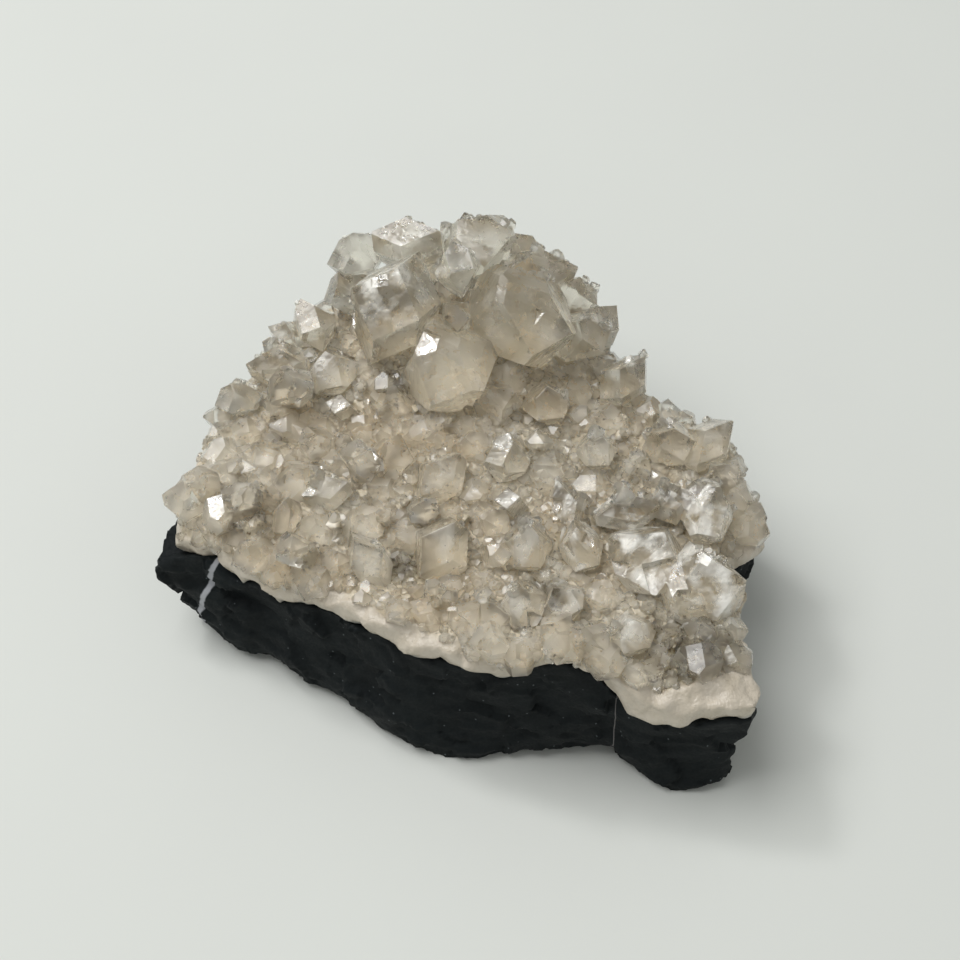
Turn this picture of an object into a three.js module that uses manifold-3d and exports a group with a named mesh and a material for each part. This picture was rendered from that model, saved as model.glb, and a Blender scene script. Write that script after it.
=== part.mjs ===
// Calcite specimen: clear calcite crystals on a pale crust, on a broken piece of black basalt.
//
// Millimetres, +Z up. The front of the specimen faces -Y and its right-hand end is +X. It rests
// on the flat foot of the basalt at z = 0, and the origin is on that plane, under the middle.
//
// Every solid is closed. The crust lies on the basalt and the crystals stand in sockets in the
// crust, each with a joint FIT wide between them.

import * as THREE from "three";
import { mergeVertices } from "three/addons/utils/BufferGeometryUtils.js";
import Module from "manifold-3d";

const wasm = await Module();
wasm.setup();

// Driving dimensions
const FIT = 0.3; // joint between two solids that touch
const FOOT_ROUND = 2.5; // height over which the basalt's lower edge rounds in to the foot
const ROCK_RELIEF = 1.7; // depth of the chips and ledges on the broken sides
const CRUST_BULGE = 0.9; // how far the crust swells out past the basalt
const CRUST_ROUND = 2.2; // how far the crust's upper edge rolls in
const FIELD_HEIGHT = 27.5; // crust's upper surface over the middle of the basalt
const FIELD_RISE = 0.035; // its slope up towards the back
const FIELD_RELIEF = 0.9; // height of its lumps
const LUMP_PITCH = 7; // distance between those lumps
const RIM_STEPS = 76; // mesh steps round the rim
const SMALL_CRYSTALS = 42; // small rhombs that are part of the crust
const SMALL_SIZE = [2.8, 6]; // the range of their sizes
const SMALL_SPACING = 0.8; // bare crust kept between them

// The rim, anticlockwise seen from above, starting at the left-hand tip. Each row has
// x, y: the upper edge of the basalt
// rock: height of that edge, where the crust begins
// crust: height of the crust's own upper edge
// foot: how far the foot stands in from the rim
// set: how far the crust stands in from the rim
const RIM_COLUMNS = ["x", "y", "rock", "crust", "foot", "set"];
const RIM = [
  [-50, -10.5, 18, 25.5, 5, 4],
  [-46, -12, 21, 27, 1.5, 2],
  [-41.5, -13.5, 22, 27, -1.5, 1.5],
  [-37.5, -15.5, 18.5, 26, -3, 0.2],
  [-33, -17.2, 21, 26.5, -1.5, 0],
  [-30.8, -18.2, 16.5, 26.5, -1.5, -0.4],
  [-28, -19.8, 18.5, 26.5, -3.2, 0],
  [-25, -21.7, 20.5, 26.5, -2.8, 0],
  [-19, -25.5, 22, 27, -2.5, 0],
  [-13, -29, 22, 27, -3.2, 0],
  [-6.5, -32.5, 21.5, 27, -4.4, 0],
  [0, -34.5, 22, 27.5, -4.2, 0],
  [6.5, -35.8, 20, 27.5, -3.2, -0.2],
  [11, -36, 23.5, 29, -2.4, 0],
  [15.5, -36.5, 25.5, 30.5, -1.8, 0],
  [20, -37.3, 23.5, 29.5, -0.4, 0],
  [23.5, -38.5, 21.5, 28, 1.6, 0],
  [26.5, -40.3, 18, 26.5, 1.6, -0.5],
  [31, -42.3, 17, 26, 0, -0.8],
  [35.5, -43.3, 18.5, 26, -1.2, -0.4],
  [41, -43.6, 21, 26, -1.2, 0],
  [45, -42.8, 20.5, 25.5, 1, 0],
  [44.8, -38, 20, 26, 2, 0],
  [43.5, -32, 20, 27, 3, 0],
  [42.5, -26, 20, 27, 3, 0],
  [41.5, -20, 20, 26.5, 4, 0.5],
  [42.8, -15.8, 19.5, 26, 5, 0.5],
  [47, -12.5, 19, 25, 6, 0],
  [48.8, -9, 19.5, 26, 5, 0],
  [48, -4, 20.5, 27, 4, 0],
  [46.5, 1, 21, 28, 3, 0],
  [46, 6, 21.5, 28.5, 3, 0],
  [43, 10, 22, 28.5, 3, 0],
  [37, 12.5, 22, 28.5, 3, 0],
  [32, 16, 22, 28.5, 3, 0],
  [28.5, 21.5, 22, 29, 3, 0],
  [25.5, 28, 21.5, 29, 3, 0],
  [22, 34, 20.5, 28.5, 4, 0],
  [16, 39.5, 20, 28, 4, 0],
  [8, 43, 19.5, 27.5, 4, 0],
  [-1, 44.5, 20, 27, 4, 0],
  [-10, 44.3, 21, 27.5, 4, 0],
  [-18, 43, 21, 28, 3, 0],
  [-24, 39, 21, 28, 3, 0],
  [-28, 33.5, 21, 28.5, 3, 0],
  [-33, 28.5, 21, 28.5, 3, 0],
  [-37.5, 21.5, 21, 28, 3, 0],
  [-41, 13.5, 21, 28, 3, 0],
  [-43.5, 6, 21, 27.5, 3, 0],
  [-46, -1, 20.5, 27, 4, 0.8],
  [-48.5, -6, 19.5, 26, 4.5, 2.5],
];

// Swells of the crust's upper surface: where each is, how wide and how high.
const SWELLS = [
  { name: "dome", x: 0.5, y: 30, across: 17, height: 10 },
  { name: "left ridge", x: -31, y: 22, across: 8, height: 2.5 },
  { name: "right shoulder", x: 33, y: -8, across: 12, height: 1.5 },
];

const MATERIALS = {
  basalt: { color: 0x1c2125, roughness: 0.85, metalness: 0 },
  crust: { color: 0xcfc2ae, roughness: 0.45, metalness: 0 },
  calcite: { color: 0xd8d2c4, roughness: 0.08, metalness: 0 },
};

// Noise

// A fixed value from -1 to 1 for each point of a lattice of whole numbers.
function latticeValue(i, j, k) {
  let h = Math.imul(i, 374761393) + Math.imul(j, 668265263) + Math.imul(k, 1440662683);
  h = Math.imul(h ^ (h >>> 13), 1274126177);
  return ((h ^ (h >>> 16)) >>> 0) / 2147483648 - 1;
}

// Smooth noise from -1 to 1 between those points.
function noise(x, y, z) {
  const base = [x, y, z].map(Math.floor);
  const ease = [x, y, z].map((v, n) => THREE.MathUtils.smoothstep(v - base[n], 0, 1));
  let sum = 0;
  for (let corner = 0; corner < 8; corner++) {
    const bits = [corner & 1, (corner >> 1) & 1, corner >> 2];
    const weight = bits.reduce((w, bit, n) => w * (bit ? ease[n] : 1 - ease[n]), 1);
    sum += weight * latticeValue(base[0] + bits[0], base[1] + bits[1], base[2] + bits[2]);
  }
  return sum;
}

// Random numbers from 0 to 1, the same ones for the same seed.
function randomFrom(seed) {
  let state = seed;
  return () => {
    state = (state + 0x6d2b79f5) | 0;
    let t = Math.imul(state ^ (state >>> 15), 1 | state);
    t = (t + Math.imul(t ^ (t >>> 7), 61 | t)) ^ t;
    return ((t ^ (t >>> 14)) >>> 0) / 4294967296;
  };
}

// The rim and the crust's upper surface

// The rim at a place along it, in rim points from the first, by a Catmull-Rom curve.
function rimAt(place) {
  const n = RIM.length;
  const i = Math.floor(place);
  const t = place - i;
  const [a, b, c, d] = [i - 1, i, i + 1, i + 2].map((k) => RIM[((k % n) + n) % n]);
  return Object.fromEntries(
    RIM_COLUMNS.map((name, k) => {
      const bend = 2 * a[k] - 5 * b[k] + 4 * c[k] - d[k];
      const twist = 3 * (b[k] - c[k]) + d[k] - a[k];
      return [name, b[k] + 0.5 * t * (c[k] - a[k] + t * (bend + t * twist))];
    }),
  );
}

// The rim as mesh steps, each with its unit normal in plan, which points out of the rock.
const rimSteps = Array.from({ length: RIM_STEPS }, (_, s) => {
  const place = (s * RIM.length) / RIM_STEPS;
  const [before, after] = [rimAt(place - 0.5), rimAt(place + 0.5)];
  const along = new THREE.Vector2(after.x - before.x, after.y - before.y).normalize();
  return { ...rimAt(place), out: { x: along.y, y: -along.x } };
});

// Height of the crust's upper surface away from its edge.
function fieldHeight(x, y) {
  const lumps = noise(x / LUMP_PITCH, y / LUMP_PITCH, 7.5);
  const swell = SWELLS.reduce((sum, s) => {
    const far = Math.hypot(x - s.x, y - s.y) / s.across;
    return sum + s.height * Math.exp(-far * far);
  }, 0);
  return FIELD_HEIGHT + FIELD_RISE * y + FIELD_RELIEF * lumps + swell;
}

// Closed solids from rings

// A solid whose skin joins each ring of points to the next, across the shorter diagonal of each
// four. The first and last rings close on a point, and each ring runs anticlockwise seen from
// above, from the underside to the top.
function solidFromRings(bottomPoint, rings, topPoint) {
  const count = rings[0].length;
  const points = [bottomPoint, ...rings.flat(), topPoint];
  const faces = [];
  const at = (ring, s) => 1 + ring * count + (s % count);
  const apart = (i, j) => Math.hypot(...points[i].map((v, k) => v - points[j][k]));
  for (let s = 0; s < count; s++) {
    faces.push([0, at(0, s + 1), at(0, s)]);
    for (let r = 0; r + 1 < rings.length; r++) {
      const [a, b, c, d] = [at(r, s), at(r, s + 1), at(r + 1, s + 1), at(r + 1, s)];
      if (apart(a, c) < apart(b, d)) faces.push([a, b, c], [a, c, d]);
      else faces.push([a, b, d], [b, c, d]);
    }
    faces.push([at(rings.length - 1, s), at(rings.length - 1, s + 1), points.length - 1]);
  }
  return manifoldFrom(points, faces);
}

function manifoldFrom(points, faces) {
  return new wasm.Manifold(
    new wasm.Mesh({
      numProp: 3,
      vertProperties: new Float32Array(points.flat()),
      triVerts: new Uint32Array(faces.flat()),
    }),
  );
}

// A ring of the rim drawn in towards the middle of the plan: share 1 is the ring itself.
function drawnIn(ring, share, heightAt) {
  return ring.map(([x, y], s) => {
    const [px, py] = [x * share, y * share];
    return [px, py, heightAt(px, py, s)];
  });
}

// Basalt

// How far the broken side stands out at a point: chips of two sizes, wider than they are high.
function chip(x, y, z) {
  const coarse = noise(x / 11, y / 11, z / 6);
  const fine = noise(x / 4.5 + 31, y / 4.5, z / 2.6);
  return ROCK_RELIEF * (coarse + 0.55 * fine);
}

// One ring of the basalt's side, at a share of the rim's height.
function sideRing(share) {
  return rimSteps.map(({ x, y, rock, foot, out }) => {
    const z = share * rock;
    const rounding = FOOT_ROUND * Math.max(0, 1 - z / FOOT_ROUND) ** 2 * 0.6;
    const inset = foot * (1 - share) ** 1.4 + rounding;
    const relief = share < 1 ? chip(x, y, z) : 0.3 * chip(x, y, z);
    const outward = relief - inset;
    return [x + out.x * outward, y + out.y * outward, z];
  });
}

// The joint between basalt and crust, seen in plan at a share of the way out to the rim.
function jointHeight(share) {
  const middle = rimSteps.reduce((sum, step) => sum + step.rock, 0) / rimSteps.length;
  return (x, y, s) =>
    THREE.MathUtils.lerp(middle, rimSteps[s].rock, share ** 3) +
    (share < 0.95 ? 0.4 * noise(x / 5, y / 5, 3) : 0);
}

const JOINT_SHARES = [0.88, 0.6, 0.25];
const rockEdge = sideRing(1);
const rockTop = JOINT_SHARES.map((share) => drawnIn(rockEdge, share, jointHeight(share)));
const rockMiddle = [0, 0, jointHeight(0)(0, 0, 0)];

function basaltMatrix() {
  const sides = [0, 0.12, 0.3, 0.5, 0.75].map(sideRing);
  return solidFromRings([0, 0, 0], [...sides, rockEdge, ...rockTop], rockMiddle);
}

// Crust

const lifted = ([x, y, z]) => [x, y, z + FIT];

// The crust's lower edge, which lies on the basalt: at the basalt's own edge, or in from it
// where the crust is set back.
function seatRing() {
  return rockEdge.map(([x, y, z], s) => {
    const share = 1 - Math.max(0, rimSteps[s].set) / Math.hypot(x, y);
    const inward = (1 - share) / (1 - JOINT_SHARES[0]);
    return lifted([x * share, y * share, THREE.MathUtils.lerp(z, rockTop[0][s][2], inward)]);
  });
}

// The ring of the crust's side that stands out by `swell` past the rim, at a share of its height.
function crustRing(share, swell) {
  return rimSteps.map(({ x, y, rock, crust, set, out }) => {
    const [low, high] = [rock + FIT, crust];
    const z = THREE.MathUtils.lerp(low, high, share);
    const ripple = 0.35 * noise(x / 3.2, y / 3.2, z / 3.2 + 11);
    const outward = swell + ripple - set;
    return [x + out.x * outward, y + out.y * outward, z];
  });
}

// The crust without its crystals.
function crustBed() {
  const side = [
    crustRing(0.35, CRUST_BULGE),
    crustRing(0.75, 0.5 * CRUST_BULGE),
    crustRing(1, -CRUST_ROUND),
  ];
  const edge = side.at(-1);
  const under = rockTop.map((ring) => ring.map(lifted)).reverse();
  const upper = [0.91, 0.79, 0.66, 0.51, 0.35, 0.17].map((share) => {
    const blend = THREE.MathUtils.smoothstep(share, 0.75, 1);
    return drawnIn(edge, share, (x, y, s) =>
      THREE.MathUtils.lerp(fieldHeight(x, y), edge[s][2], blend),
    );
  });
  const rings = [...under, seatRing(), ...side, ...upper];
  return solidFromRings(lifted(rockMiddle), rings, [0, 0, fieldHeight(0, 0)]);
}

// Crystals

const degrees = THREE.MathUtils.degToRad;

// Unit vector at a polar angle from +Z and an angle round it.
function direction(polar, round) {
  return new THREE.Vector3().setFromSphericalCoords(1, degrees(polar), degrees(round)).applyAxisAngle(
    new THREE.Vector3(1, 0, 0),
    Math.PI / 2,
  );
}

// Calcite's forms as angles from the crystal's own long axis: the six faces of the cleavage
// rhomb, the six of the flat rhomb that blunts it, the prism round it, and the steep rhomb.
const FORMS = {
  cleavage: [44.6, 0],
  flat: [26.3, 60],
  steep: [63.1, 60],
  prism: [90, 30],
};

// A form's face normals: three round the upper end and three, turned half way, round the lower.
function faceNormals(form) {
  const [polar, start] = FORMS[form];
  const normals = [];
  for (let k = 0; k < 3; k++) {
    normals.push(direction(polar, start + 120 * k));
    normals.push(direction(180 - polar, start + 60 + 120 * k));
  }
  return normals;
}

// Habits: how far each form's faces stand from the crystal's middle. The smaller the distance,
// the larger the face.
const HABITS = {
  plain: { cleavage: 1 },
  rhomb: { cleavage: 1, steep: 1.15 },
  block: { cleavage: 1, prism: 1.12 },
  stub: { cleavage: 1, steep: 1.1, flat: 1.12 },
};

// Corners and faces of the convex body that all the planes enclose.
function bodyWithin(planes) {
  const TOUCH = 1e-9;
  const corners = [];
  const meet = new THREE.Matrix3();
  for (let a = 0; a < planes.length; a++) {
    for (let b = a + 1; b < planes.length; b++) {
      for (let c = b + 1; c < planes.length; c++) {
        const [p, q, r] = [planes[a], planes[b], planes[c]];
        meet.set(...p.normal.toArray(), ...q.normal.toArray(), ...r.normal.toArray());
        if (Math.abs(meet.determinant()) < TOUCH) continue;
        const point = new THREE.Vector3(p.reach, q.reach, r.reach).applyMatrix3(meet.invert());
        const inside = planes.every((s) => s.normal.dot(point) < s.reach + TOUCH);
        if (inside && corners.every((o) => o.distanceTo(point) > TOUCH * 100)) corners.push(point);
      }
    }
  }
  const triangles = [];
  for (const { normal, reach } of planes) {
    const on = corners.filter((p) => Math.abs(normal.dot(p) - reach) < TOUCH * 10);
    if (on.length < 3) continue;
    const middle = on.reduce((sum, p) => sum.add(p), new THREE.Vector3()).divideScalar(on.length);
    const right = on[0].clone().sub(middle).normalize();
    const up = normal.clone().cross(right);
    const angle = (p) => Math.atan2(p.clone().sub(middle).dot(up), p.clone().sub(middle).dot(right));
    const loop = on.sort((p, q) => angle(p) - angle(q)).map((p) => corners.indexOf(p));
    for (let k = 1; k + 1 < loop.length; k++) triangles.push([loop[0], loop[k], loop[k + 1]]);
  }
  return { corners, triangles };
}

// One crystal as a solid.
// habit: which forms it shows
// at: its middle
// size: width and height of its main face, and depth behind it
// look: where the main face looks, as degrees to the right of the front and degrees up
// spin: how far it is turned about that, in degrees
// seed: sets how unevenly its faces grew
// grow: how much bigger to make it all round, for its socket
function crystal({ habit, at, size, look, spin = 0, seed = 1 }, grow = 0) {
  const random = randomFrom(seed);
  const planes = Object.entries(HABITS[habit]).flatMap(([form, reach]) =>
    faceNormals(form).map((normal) => ({ normal, reach: reach * (0.93 + 0.14 * random()) })),
  );
  const body = bodyWithin(planes);
  const faceUp = new THREE.Quaternion().setFromUnitVectors(
    faceNormals("cleavage")[0],
    new THREE.Vector3(0, 0, 1),
  );
  const placed = body.corners.map((p) => p.clone().applyQuaternion(faceUp));
  const box = new THREE.Box3().setFromPoints(placed);
  const middle = box.getCenter(new THREE.Vector3());
  const extent = box.getSize(new THREE.Vector3());
  const scale = new THREE.Vector3(...size).addScalar(2 * grow).divide(extent);
  const turn = new THREE.Matrix4().multiplyMatrices(
    lookMatrix(look),
    new THREE.Matrix4().makeRotationZ(degrees(spin)),
  );
  const points = placed.map((p) =>
    p.sub(middle).multiply(scale).applyMatrix4(turn).add(new THREE.Vector3(...at)).toArray(),
  );
  return manifoldFrom(points, body.triangles);
}

// Turns +Z to the way the face looks, with +X kept level and +Y up the face.
function lookMatrix([toRight, up]) {
  const face = new THREE.Vector3(
    Math.sin(degrees(toRight)) * Math.cos(degrees(up)),
    -Math.cos(degrees(toRight)) * Math.cos(degrees(up)),
    Math.sin(degrees(up)),
  );
  const level = new THREE.Vector3(0, 0, 1).cross(face).normalize();
  return new THREE.Matrix4().makeBasis(level, face.clone().cross(level), face);
}

// The crystals that stand clear of the crust. Crystals that have grown into each other are one
// solid, so each entry here is one solid.
const CRYSTAL_GROUPS = {
  dome_crystals: [
    { habit: "block", at: [-11.5, 27.5, 39], size: [13, 21, 13], look: [-20, 44], spin: -8, seed: 3 },
    { habit: "stub", at: [-2.4, 18.5, 35], size: [17, 17, 14], look: [-14, 46], spin: 30, seed: 5 },
    { habit: "rhomb", at: [2.5, 38, 43], size: [15, 12, 12], look: [10, 62], spin: 42, seed: 8 },
    { habit: "block", at: [-9, 40, 41.5], size: [12, 9, 10], look: [-25, 70], spin: 20, seed: 11 },
    { habit: "stub", at: [-18.5, 40.5, 38.5], size: [9, 9, 9], look: [-50, 50], spin: 10, seed: 12 },
    { habit: "rhomb", at: [-19, 36, 34], size: [8, 8, 9], look: [-80, 30], spin: 30, seed: 14 },
    { habit: "rhomb", at: [-0.7, 30.5, 45], size: [8, 8, 9], look: [0, 72], spin: 15, seed: 15 },
    { habit: "stub", at: [9.5, 26, 38.5], size: [18, 19, 16], look: [24, 50], spin: 12, seed: 18 },
    { habit: "block", at: [11.5, 35, 38.5], size: [13, 11, 12], look: [48, 52], spin: -30, seed: 21 },
    { habit: "rhomb", at: [17.5, 34, 34.5], size: [9, 10, 10], look: [80, 40], spin: 15, seed: 22 },
    { habit: "rhomb", at: [-1, 23.5, 41], size: [6, 6, 7], look: [-5, 48], spin: 50, seed: 23 },
    { habit: "rhomb", at: [19.5, 24.5, 35], size: [10, 9, 10], look: [50, 45], spin: 25, seed: 24 },
    { habit: "block", at: [22, 28, 33], size: [8, 9, 10], look: [75, 45], spin: -10, seed: 25 },
    { habit: "block", at: [6, 41, 36], size: [13, 11, 12], look: [170, 45], spin: 0, seed: 30 },
    { habit: "rhomb", at: [-7, 42, 35], size: [12, 10, 11], look: [200, 35], spin: 20, seed: 31 },
  ],
  clear_side_block: [
    { habit: "block", at: [27.5, 17.5, 31.5], size: [9, 8, 9], look: [30, 52], spin: 35, seed: 27 },
  ],
  cloudy_stub: [
    { habit: "rhomb", at: [14, 12.8, 30.8], size: [8.5, 7.5, 8], look: [10, 50], spin: 0, seed: 28 },
  ],
  ridge_crystals: [
    { habit: "rhomb", at: [-26, 30, 32], size: [8, 9, 10], look: [-25, 65], spin: 40, seed: 40 },
    { habit: "block", at: [-30, 28.5, 31], size: [6, 6, 7], look: [-40, 50], spin: 10, seed: 41 },
    { habit: "block", at: [-31, 22, 30.5], size: [10, 9, 9], look: [-20, 48], spin: 15, seed: 42 },
    { habit: "rhomb", at: [-22.5, 21, 29.5], size: [10.5, 9, 9], look: [-10, 55], spin: 20, seed: 43 },
  ],
  left_rim_rhomb: [
    { habit: "rhomb", at: [-38, 15, 29.5], size: [7, 6, 7], look: [-50, 45], spin: 15, seed: 45 },
  ],
  square_rhomb: [
    { habit: "plain", at: [-20, 13, 29], size: [5, 5, 6], look: [-57, 71], spin: 40, seed: 46 },
  ],
  house_crystal: [
    { habit: "block", at: [-3.2, -16.3, 28], size: [10.5, 10.5, 8], look: [-5, 52], spin: 60, seed: 50 },
  ],
  centre_pair: [
    { habit: "rhomb", at: [5.6, -17, 27.5], size: [5, 5, 6], look: [10, 60], spin: 45, seed: 51 },
    { habit: "rhomb", at: [10.5, -15, 27.5], size: [8.5, 9, 8], look: [0, 50], spin: 0, seed: 52 },
  ],
  striated_pair: [
    { habit: "rhomb", at: [19.3, -15.5, 28], size: [7.5, 9, 8], look: [0, 48], spin: 15, seed: 60 },
    { habit: "plain", at: [17.5, -8.5, 29], size: [9.5, 5.5, 7], look: [-15, 60], spin: -62, seed: 61 },
  ],
  right_cluster: [
    { habit: "block", at: [27, -9.5, 29.5], size: [11, 7.5, 8], look: [5, 55], spin: 8, seed: 62 },
    { habit: "block", at: [34, -8, 30], size: [7, 8, 8], look: [-5, 62], spin: 20, seed: 63 },
    { habit: "stub", at: [39.5, -10, 30], size: [9, 11, 9], look: [12, 52], spin: -20, seed: 64 },
    { habit: "rhomb", at: [30, -19, 28.6], size: [15, 12, 9], look: [-8, 58], spin: -25, seed: 65 },
    { habit: "block", at: [38, -24, 27.6], size: [12, 16, 8], look: [30, 50], spin: -14, seed: 66 },
  ],
  front_white_crystal: [
    { habit: "rhomb", at: [26.3, -32, 26.8], size: [9, 7, 7], look: [0, 55], spin: 15, seed: 70 },
  ],
  front_pair: [
    { habit: "rhomb", at: [9.8, -27, 27.8], size: [8, 8.5, 7], look: [-10, 50], spin: 20, seed: 71 },
    { habit: "rhomb", at: [15.8, -26.2, 27.5], size: [8.5, 7, 7], look: [0, 55], spin: 30, seed: 72 },
  ],
  hatched_rhomb: [
    { habit: "rhomb", at: [7.5, 1.8, 29], size: [8, 8.5, 8], look: [-57, 71], spin: 30, seed: 73 },
  ],
  striped_rhomb: [
    { habit: "plain", at: [8.2, -7.2, 28.5], size: [4.5, 5, 6], look: [-57, 71], spin: 55, seed: 74 },
  ],
  back_right_rhomb: [
    { habit: "rhomb", at: [22.5, 3.5, 29.5], size: [7, 7, 8], look: [0, 50], spin: 0, seed: 75 },
  ],
  right_rim_crystals: [
    { habit: "rhomb", at: [34.5, 5, 29.5], size: [8.5, 8, 8], look: [20, 50], spin: 45, seed: 76 },
    { habit: "block", at: [40.5, 5, 29], size: [10, 8, 9], look: [30, 50], spin: 25, seed: 77 },
  ],
  left_front_blade: [
    { habit: "block", at: [-14.5, -18, 27.2], size: [6, 12, 7], look: [0, 52], spin: 32, seed: 78 },
  ],
  left_stub: [
    { habit: "rhomb", at: [-28.5, -9, 27.2], size: [5, 7, 6], look: [-10, 50], spin: 0, seed: 79 },
  ],
  left_centre_block: [
    { habit: "block", at: [-22, -4, 27.5], size: [8, 7, 7], look: [-5, 60], spin: 20, seed: 80 },
  ],
  middle_block: [
    { habit: "block", at: [-3.5, -1.5, 28], size: [10, 9, 8], look: [0, 58], spin: 50, seed: 81 },
  ],
};

// The small rhombs that stand on the crust, clear of each other and of the large crystals.
function smallCrystals() {
  const random = randomFrom(9);
  const taken = Object.values(CRYSTAL_GROUPS)
    .flat()
    .map(({ at, size }) => ({ x: at[0], y: at[1], radius: 0.42 * Math.max(...size) }));
  const found = [];
  while (found.length < SMALL_CRYSTALS) {
    const share = 0.9 * Math.sqrt(random());
    const rim = rimAt(random() * RIM.length);
    const size = THREE.MathUtils.lerp(...SMALL_SIZE, random() ** 1.5);
    const spot = { x: rim.x * share, y: rim.y * share, radius: size / 2 };
    const look = [360 * random(), 50 + 40 * random()];
    const spin = 90 * random();
    const near = (o) => Math.hypot(o.x - spot.x, o.y - spot.y) < o.radius + spot.radius + SMALL_SPACING;
    if (taken.some(near)) continue;
    taken.push(spot);
    const at = [spot.x, spot.y, fieldHeight(spot.x, spot.y) + 0.1 * size];
    const seed = 100 + found.length;
    found.push({ habit: "plain", at, size: [size, size, 1.1 * size], look, spin, seed });
  }
  return found;
}

// Joins crystals into one solid, each grown by `grow` all round.
function joined(crystals, grow = 0) {
  return crystals.map((each) => crystal(each, grow)).reduce((sum, each) => sum.add(each));
}

// The crust with its own small crystals and a socket for each large one, without the slivers
// that the sockets cut off.
function druseCrust() {
  const sockets = joined(Object.values(CRYSTAL_GROUPS).flat(), FIT);
  const crust = crustBed().add(joined(smallCrystals())).subtract(sockets);
  return crust.decompose().reduce((most, each) => (each.volume() > most.volume() ? each : most));
}

// Meshes

function meshOf(name, solid, material) {
  const { vertProperties, triVerts, numProp } = solid.getMesh();
  const geometry = new THREE.BufferGeometry()
    .setAttribute("position", new THREE.BufferAttribute(vertProperties.slice(), numProp))
    .setIndex(new THREE.BufferAttribute(triVerts.slice(), 1));
  const mesh = new THREE.Mesh(mergeVertices(geometry), new THREE.MeshStandardMaterial(material));
  mesh.name = name;
  return mesh;
}

const specimen = new THREE.Group();
specimen.add(meshOf("basalt_matrix", basaltMatrix(), MATERIALS.basalt));
specimen.add(meshOf("druse_crust", druseCrust(), MATERIALS.crust));
for (const [name, crystals] of Object.entries(CRYSTAL_GROUPS)) {
  specimen.add(meshOf(name, joined(crystals), MATERIALS.calcite));
}

// Puts the middle of the plan over the origin.
const middle = new THREE.Box3().setFromObject(specimen).getCenter(new THREE.Vector3());
specimen.position.set(-middle.x, -middle.y, 0);

export default specimen;
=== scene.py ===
"""A calcite specimen: clear crystals on a pale druse, on a broken piece of black basalt.

Metres, +Z up. The specimen rests on z = 0 with its front towards -Y.
"""

import math

import bmesh
import bpy
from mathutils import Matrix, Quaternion, Vector, noise
from mathutils.bvhtree import BVHTree


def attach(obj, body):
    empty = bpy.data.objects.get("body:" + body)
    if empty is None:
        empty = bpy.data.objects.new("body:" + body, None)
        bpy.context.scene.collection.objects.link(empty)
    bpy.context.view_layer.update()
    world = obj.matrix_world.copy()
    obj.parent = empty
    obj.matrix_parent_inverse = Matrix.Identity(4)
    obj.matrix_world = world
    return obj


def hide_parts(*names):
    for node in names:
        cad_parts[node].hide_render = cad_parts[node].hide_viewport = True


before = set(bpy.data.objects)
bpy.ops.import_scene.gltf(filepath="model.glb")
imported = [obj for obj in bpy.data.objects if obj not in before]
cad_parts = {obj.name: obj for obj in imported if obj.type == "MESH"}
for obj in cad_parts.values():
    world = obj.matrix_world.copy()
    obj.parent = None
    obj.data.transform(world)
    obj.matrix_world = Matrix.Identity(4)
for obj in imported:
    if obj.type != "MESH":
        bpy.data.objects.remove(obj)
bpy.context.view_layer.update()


# The studio: a pale paper sheet under the specimen and plain light all round. A large softbox
# hangs high at the left, and near it a small bright lamp that gives the crystals their glints.

MM = 0.001
FLOOR_SIZE = 4.0
PAPER_LIGHT = "#e0e3de"
PAPER_DARK = "#dcdeda"
PAPER_MOTTLE = 60 * MM
AIM = Vector((3.2, -2.0, 26)) * MM
CAMERA_ELEVATION = math.radians(50)
CAMERA_DISTANCE = 311 * MM
CAMERA_LENS = 70
CAMERA_SENSOR = 36
CAMERA_NEAR = 10 * MM
LAMP_DISTANCE = 1.2
KEY_DIRECTION = Vector((-0.40, 0.05, 0.91)).normalized()
KEY_SIZE = 0.8
KEY_POWER = 8.5
SPARK_DIRECTION = Vector((-0.458, 0.346, 0.819)).normalized()
SPARK_SIZE = 0.18
SPARK_POWER = 2.2
ROOM_COLOUR = "#f4f6f3"
ROOM_LIGHT = 0.41
LIGHT_BOUNCES = 18


def linear(hex_colour):
    """An sRGB hex colour as the linear RGBA that shaders take."""
    channels = [int(hex_colour[i : i + 2], 16) / 255 for i in (1, 3, 5)]
    straight = [c / 12.92 if c <= 0.04045 else ((c + 0.055) / 1.055) ** 2.4 for c in channels]
    return (*straight, 1.0)


def add_node(tree, kind, inputs=None, **settings):
    """Adds a node with its settings. An input is given a value, or an output to be linked to."""
    made = tree.nodes.new(kind)
    for name, value in settings.items():
        setattr(made, name, value)
    for socket, value in (inputs or {}).items():
        if isinstance(value, bpy.types.NodeSocket):
            tree.links.new(value, made.inputs[socket])
        else:
            made.inputs[socket].default_value = value
    return made


def noise_at(tree, place, size, detail, **more):
    """Noise between 0 and 1, with its lumps about one size apart."""
    inputs = {"Vector": place, "Scale": 1 / size, "Detail": detail, **more}
    return add_node(tree, "ShaderNodeTexNoise", inputs).outputs["Fac"]


def mixed(tree, share, first, second):
    """The first colour at share 0 and the second at 1. Each is a hex colour or an output."""
    ends = [linear(end) if isinstance(end, str) else end for end in (first, second)]
    inputs = {"Factor": share, "A": ends[0], "B": ends[1]}
    return add_node(tree, "ShaderNodeMix", inputs, data_type="RGBA").outputs["Result"]


def new_material(name):
    """A material with an empty tree, its output node and the object's own coordinates."""
    material = bpy.data.materials.new(name)
    material.use_nodes = True
    tree = material.node_tree
    tree.nodes.clear()
    output = add_node(tree, "ShaderNodeOutputMaterial")
    place = add_node(tree, "ShaderNodeTexCoord").outputs["Object"]
    return material, tree, output, place


def add_surface(tree, output, inputs):
    """Ends a material in one Principled shader."""
    skin = add_node(tree, "ShaderNodeBsdfPrincipled", inputs)
    tree.links.new(skin.outputs["BSDF"], output.inputs["Surface"])


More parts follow.
